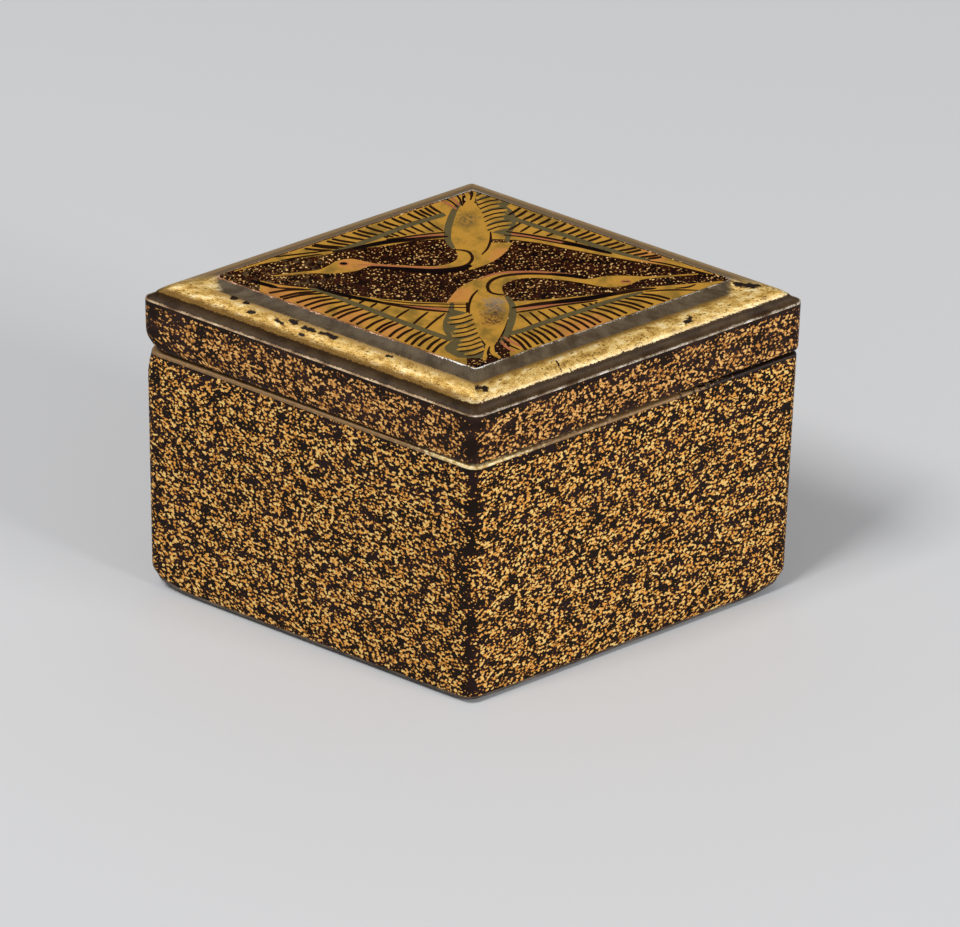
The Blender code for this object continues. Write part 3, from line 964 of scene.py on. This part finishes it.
def crane(place, warm):
    """One crane seen from above, with its body, plumes, shoulder, bent neck, head and beak.

    A place function sets a path where the bird lies. A warm one has a thin neck with a reddish
    line along it and a thick black one beside it. The other has the reddish line on its
    shoulder. Each has its own outline of neck, head and beak.
    """
    def line(films, points, width, rise, ends=(0.3, 0.3)):
        films.append(stroke(place(curve(points, 30)), width, rise, ends))

    def area(films, right, left, rise):
        films.append(film(place(curve(right, 60)), place(curve(left, 60)), rise))

    area(grey_films, ((-0.2, -5.7), (-0.2, -7.5), (0.4, -9.5), (0.9, -10.8), (0.8, -12.6)),
         ((-2.2, -5.0), (-2.7, -7.5), (-2.0, -9.4), (-2.9, -11.2), (-1.6, -12.6)), GREY_RISE - 2 * HAIR)
    area(gold_films, ((0.35, -2.0), (-0.25, -3.4), (-0.45, -5.0), (-0.3, -6.4), (0.1, -8.4), (0.7, -9.8),
                      (1.4, -11.2)),
         ((1.5, -2.2), (2.8, -2.75), (3.3, -4.2), (3.3, -5.4), (3.0, -7.2), (2.4, -9.2), (1.6, -11.2)),
         GOLD_RISE + 2 * HAIR)
    shoulder_inside = ((-0.3, -3.9), (0.0, -3.0), (0.6, -2.3), (1.3, -2.0), (1.4, -1.2), (1.8, -0.3),
                       (3.0, 0.45), (5.0, 0.75), (8.0, 0.6), (10.4, 0.15))
    shoulder_outside = ((-2.6, -3.9), (-2.2, -3.0), (-1.6, -1.9), (-0.7, -0.9), (0.4, -0.1), (1.6, 0.55),
                        (3.0, 0.90), (5.0, 1.0), (7.5, 0.9), (10.4, 0.30))
    points_used = 6 if warm else 10
    area(gold_films, shoulder_inside[:points_used], shoulder_outside[:points_used], GOLD_RISE + HAIR)
    hook = ((1.8, -0.3), (1.3, -1.3), (1.55, -2.25), (2.2, -2.6), (2.95, -2.7))
    if warm:
        eye = (13.7, -0.35)
        inside = ((2.9, -2.6), (2.7, -1.5), (3.3, -0.6), (4.6, -0.1), (6.2, 0.0), (8.2, -0.15),
                  (10.5, -0.35), (11.8, -0.8), (13.0, -1.15), (14.3, -0.8), (15.2, 0.0), (16.2, 0.7),
                  (18.0, 1.05), (20.4, 1.6))
        outside = ((1.5, -2.5), (1.3, -1.4), (1.8, -0.45), (3.0, 0.15), (5.0, 0.42), (8.0, 0.25),
                   (10.4, -0.05), (11.4, 0.1), (12.4, 0.75), (13.8, 1.1), (15.2, 1.25), (16.4, 1.2),
                   (18.0, 1.38), (20.4, 1.75))
        nape = ((10.6, 0.05), (9.2, 0.22), (7.0, 0.5), (5.0, 0.55), (3.0, 0.25))
        line(black_films, ((11.4, 0.12), (8.0, 0.48), (6.0, 0.72), (4.4, 0.8), (2.6, 0.45), (1.4, -0.2)),
             0.72, BLACK_RISE, (0.1, 0.5))
        line(red_films, ((12.4, -0.2), (10.0, -0.1), (8.0, 0.12), (5.4, 0.27), (3.6, 0.05)), 0.30,
             RED_RISE)
    else:
        eye = (14.6, -0.45)
        inside = ((2.9, -2.6), (2.7, -1.5), (3.3, -0.6), (4.6, -0.05), (6.2, 0.05), (8.2, -0.2),
                  (10.5, -0.75), (11.8, -1.15), (13.0, -1.4), (14.3, -1.2), (15.2, -0.75), (16.2, -0.1),
                  (18.0, 0.25), (21.6, 0.75))
        outside = ((1.5, -2.5), (1.3, -1.4), (1.8, -0.35), (3.0, 0.35), (5.0, 0.65), (8.0, 0.45),
                   (10.4, -0.1), (11.4, 0.0), (12.4, 0.32), (13.8, 0.48), (15.2, 0.45), (16.4, 0.38),
                   (18.0, 0.5), (21.6, 0.9))
        nape = ((10.6, 0.1), (9.2, 0.4), (7.0, 0.65), (5.0, 0.70), (3.0, 0.38))
        line(black_films, ((11.0, 0.05), (9.8, 0.32), (8.4, 0.55), (7.0, 0.68)), 0.50, BLACK_RISE)
        line(red_films, ((9.6, 0.62), (7.0, 0.95), (5.0, 1.0), (3.2, 0.9), (1.7, 0.5), (0.4, -0.3)), 0.34,
             RED_RISE)
    area(gold_films, inside, outside, GOLD_RISE + 3 * HAIR)
    line(dark_films, nape + hook, 0.34 if warm else 0.36, DARK_RISE)
    line(dark_films, ((0.4, -1.9), (-0.2, -3.0), (-0.5, -4.4), (-0.5, -5.7)), 0.26, DARK_RISE)
    line(grey_films, ((3.1, -2.9), (3.6, -4.2), (3.65, -5.8), (3.4, -7.4), (3.0, -9.0), (2.3, -10.6)), 0.72,
         GREY_RISE, (0.4, 0.3))
    line(grey_films, ((-2.1, -4.0), (-2.25, -5.4), (-2.7, -7.2), (-2.6, -8.6), (-2.0, -9.7)), 0.62, GREY_RISE,
         (0.5, 0.5))
    for count in range(9):
        root_x, root_y = -0.25 + 0.14 * count, -5.5 - 0.70 * count
        reach = 2.2 + 0.35 * math.sin(count * 2.1)
        line(gold_films, ((root_x, root_y), (root_x - 0.45 * reach, root_y - 0.62),
                          (root_x - reach, root_y - 0.95)), 0.44, GREY_RISE + 3 * HAIR, (0.9, 0.25))
        line(dark_films, ((root_x, root_y - 0.35), (root_x - 0.45 * reach, root_y - 0.97),
                          (root_x - 0.9 * reach, root_y - 1.25)), 0.20, DARK_RISE + HAIR, (0.6, 0.4))
    for plume in (((1.2, -10.6), (1.05, -11.8), (0.8, -13.0)), ((1.6, -10.6), (1.7, -11.8), (2.4, -12.6))):
        line(gold_films, plume, 0.46, GREY_RISE + 3 * HAIR, (0.9, 0.2))
    for shade in (((1.4, -10.8), (1.2, -11.8), (1.3, -12.7)), ((2.2, -9.9), (2.5, -11.2), (3.2, -12.2)),
                  ((2.6, -9.6), (3.3, -10.6), (4.2, -11.3))):
        line(dark_films, shade, 0.22, DARK_RISE, (0.5, 0.5))
    line(red_films, ((2.75, -9.3), (3.6, -10.2), (4.6, -10.9)), 0.34, GREY_RISE + 3 * HAIR)
    line(red_films, ((2.45, -9.9), (3.0, -10.9), (3.8, -11.6)), 0.30, GREY_RISE + 3 * HAIR)
    around_eye = np.radians(np.linspace(0, 360, 25))
    ring = np.stack((eye[0] + 0.42 * np.cos(around_eye), eye[1] + 0.24 * np.sin(around_eye)), axis=1) * MM
    red_films.append(stroke(place(ring), 0.16, DARK_RISE, (1.0, 1.0)))
    across_eye = ((eye[0] - 0.35, eye[1]), eye, (eye[0] + 0.35, eye[1]))
    line(black_films, across_eye, 0.42 if warm else 0.14, BLACK_RISE)


crane(lambda path: path, False)
crane(lambda path: turned(path, (1.2, 1.8)), True)


def picture_gold():
    """Thin gold lacquer, olive in clouds, with reddish spots and speckled grey, brown and dark ones."""
    material, tree, shader = finish("picture_gold")
    flat = flat_place(tree)
    grain = noise(tree, flat, 6.0, 2.0)
    clouds = noise(tree, flat, 0.45, 3.0)
    uneven = noise(tree, flat, 0.9, 3.0)
    speckle = between(tree, noise(tree, flat, 3.2, 4.0), 0.46, 0.56)
    gold = mixed(tree, grain, (0.39, 0.180, 0.018), (0.64, 0.345, 0.050))
    colour = mixed(tree, between(tree, clouds, 0.42, 0.70), gold, (0.25, 0.145, 0.022))

    def around(spot, size, soft):
        """1 near a spot in the plane, with an uneven border that fades out over soft."""
        away = node(tree, "ShaderNodeVectorMath", {0: flat, 1: (*spot, 0.0)}, operation="DISTANCE")
        border = swayed(tree, away.outputs["Value"], uneven, 2.6)
        return between(tree, border, size + soft, size)

    for spot, size in (((9.4, -8.3), 1.0), ((11.6, -7.2), 0.7), ((-18.6, -3.0), 1.2), ((-15.6, -4.6), 0.9),
                       ((-11.6, -6.6), 0.8), ((-8.0, -8.4), 0.7), ((17.0, 3.6), 0.8), ((3.0, 3.4), 0.9),
                       ((-1.9, -2.6), 0.8), ((-5.5, 1.5), 0.7), ((-9.0, 1.9), 0.8), ((-11.4, 2.3), 0.6)):
        tint = times(tree, around(spot, size, 1.4), 0.55)
        colour = mixed(tree, tint, colour, (0.60, 0.220, 0.060))
    # Speckled spots of pale grey, brown and near black on the gold.
    for spot, size, rubbed in (((2.0, -3.9), 0.5, (0.21, 0.185, 0.160)),
                               ((1.8, -5.0), 0.5, (0.150, 0.110, 0.075)),
                               ((1.8, -6.4), 0.6, (0.075, 0.030, 0.015)),
                               ((-0.5, 9.4), 0.7, (0.15, 0.095, 0.030))):
        share = times(tree, around(spot, size, 0.9), maths(tree, "MULTIPLY_ADD", speckle, 0.6, 0.3))
        colour = mixed(tree, share, colour, rubbed)
    settle(tree, shader, colour, SATIN, 0.10, 0.1)
    return material


def drawing_lacquer(name, dark, pale):
    """Lacquer of one colour for lines, a little cloudy."""
    material, tree, shader = finish(name)
    metres = node(tree, "ShaderNodeTexCoord").outputs["Object"]
    settle(tree, shader, mixed(tree, noise(tree, metres, 900.0, 3.0), dark, pale), SATIN, 0.03)
    return material


join("picture_gold", gold_films, picture_gold())
for name, films, finish_name, dark, pale in (
        ("picture_grey", grey_films, "grey_lacquer", (0.070, 0.052, 0.020), (0.15, 0.115, 0.048)),
        ("picture_dark", dark_films, "line_lacquer", (0.008, 0.003, 0.001), (0.034, 0.011, 0.004)),
        ("picture_black", black_films, "black_lacquer", (0.003, 0.001, 0.001), (0.006, 0.002, 0.001)),
        ("picture_red", red_films, "red_lacquer", (0.30, 0.09, 0.035), (0.46, 0.17, 0.07))):
    join(name, films, drawing_lacquer(finish_name, dark, pale))
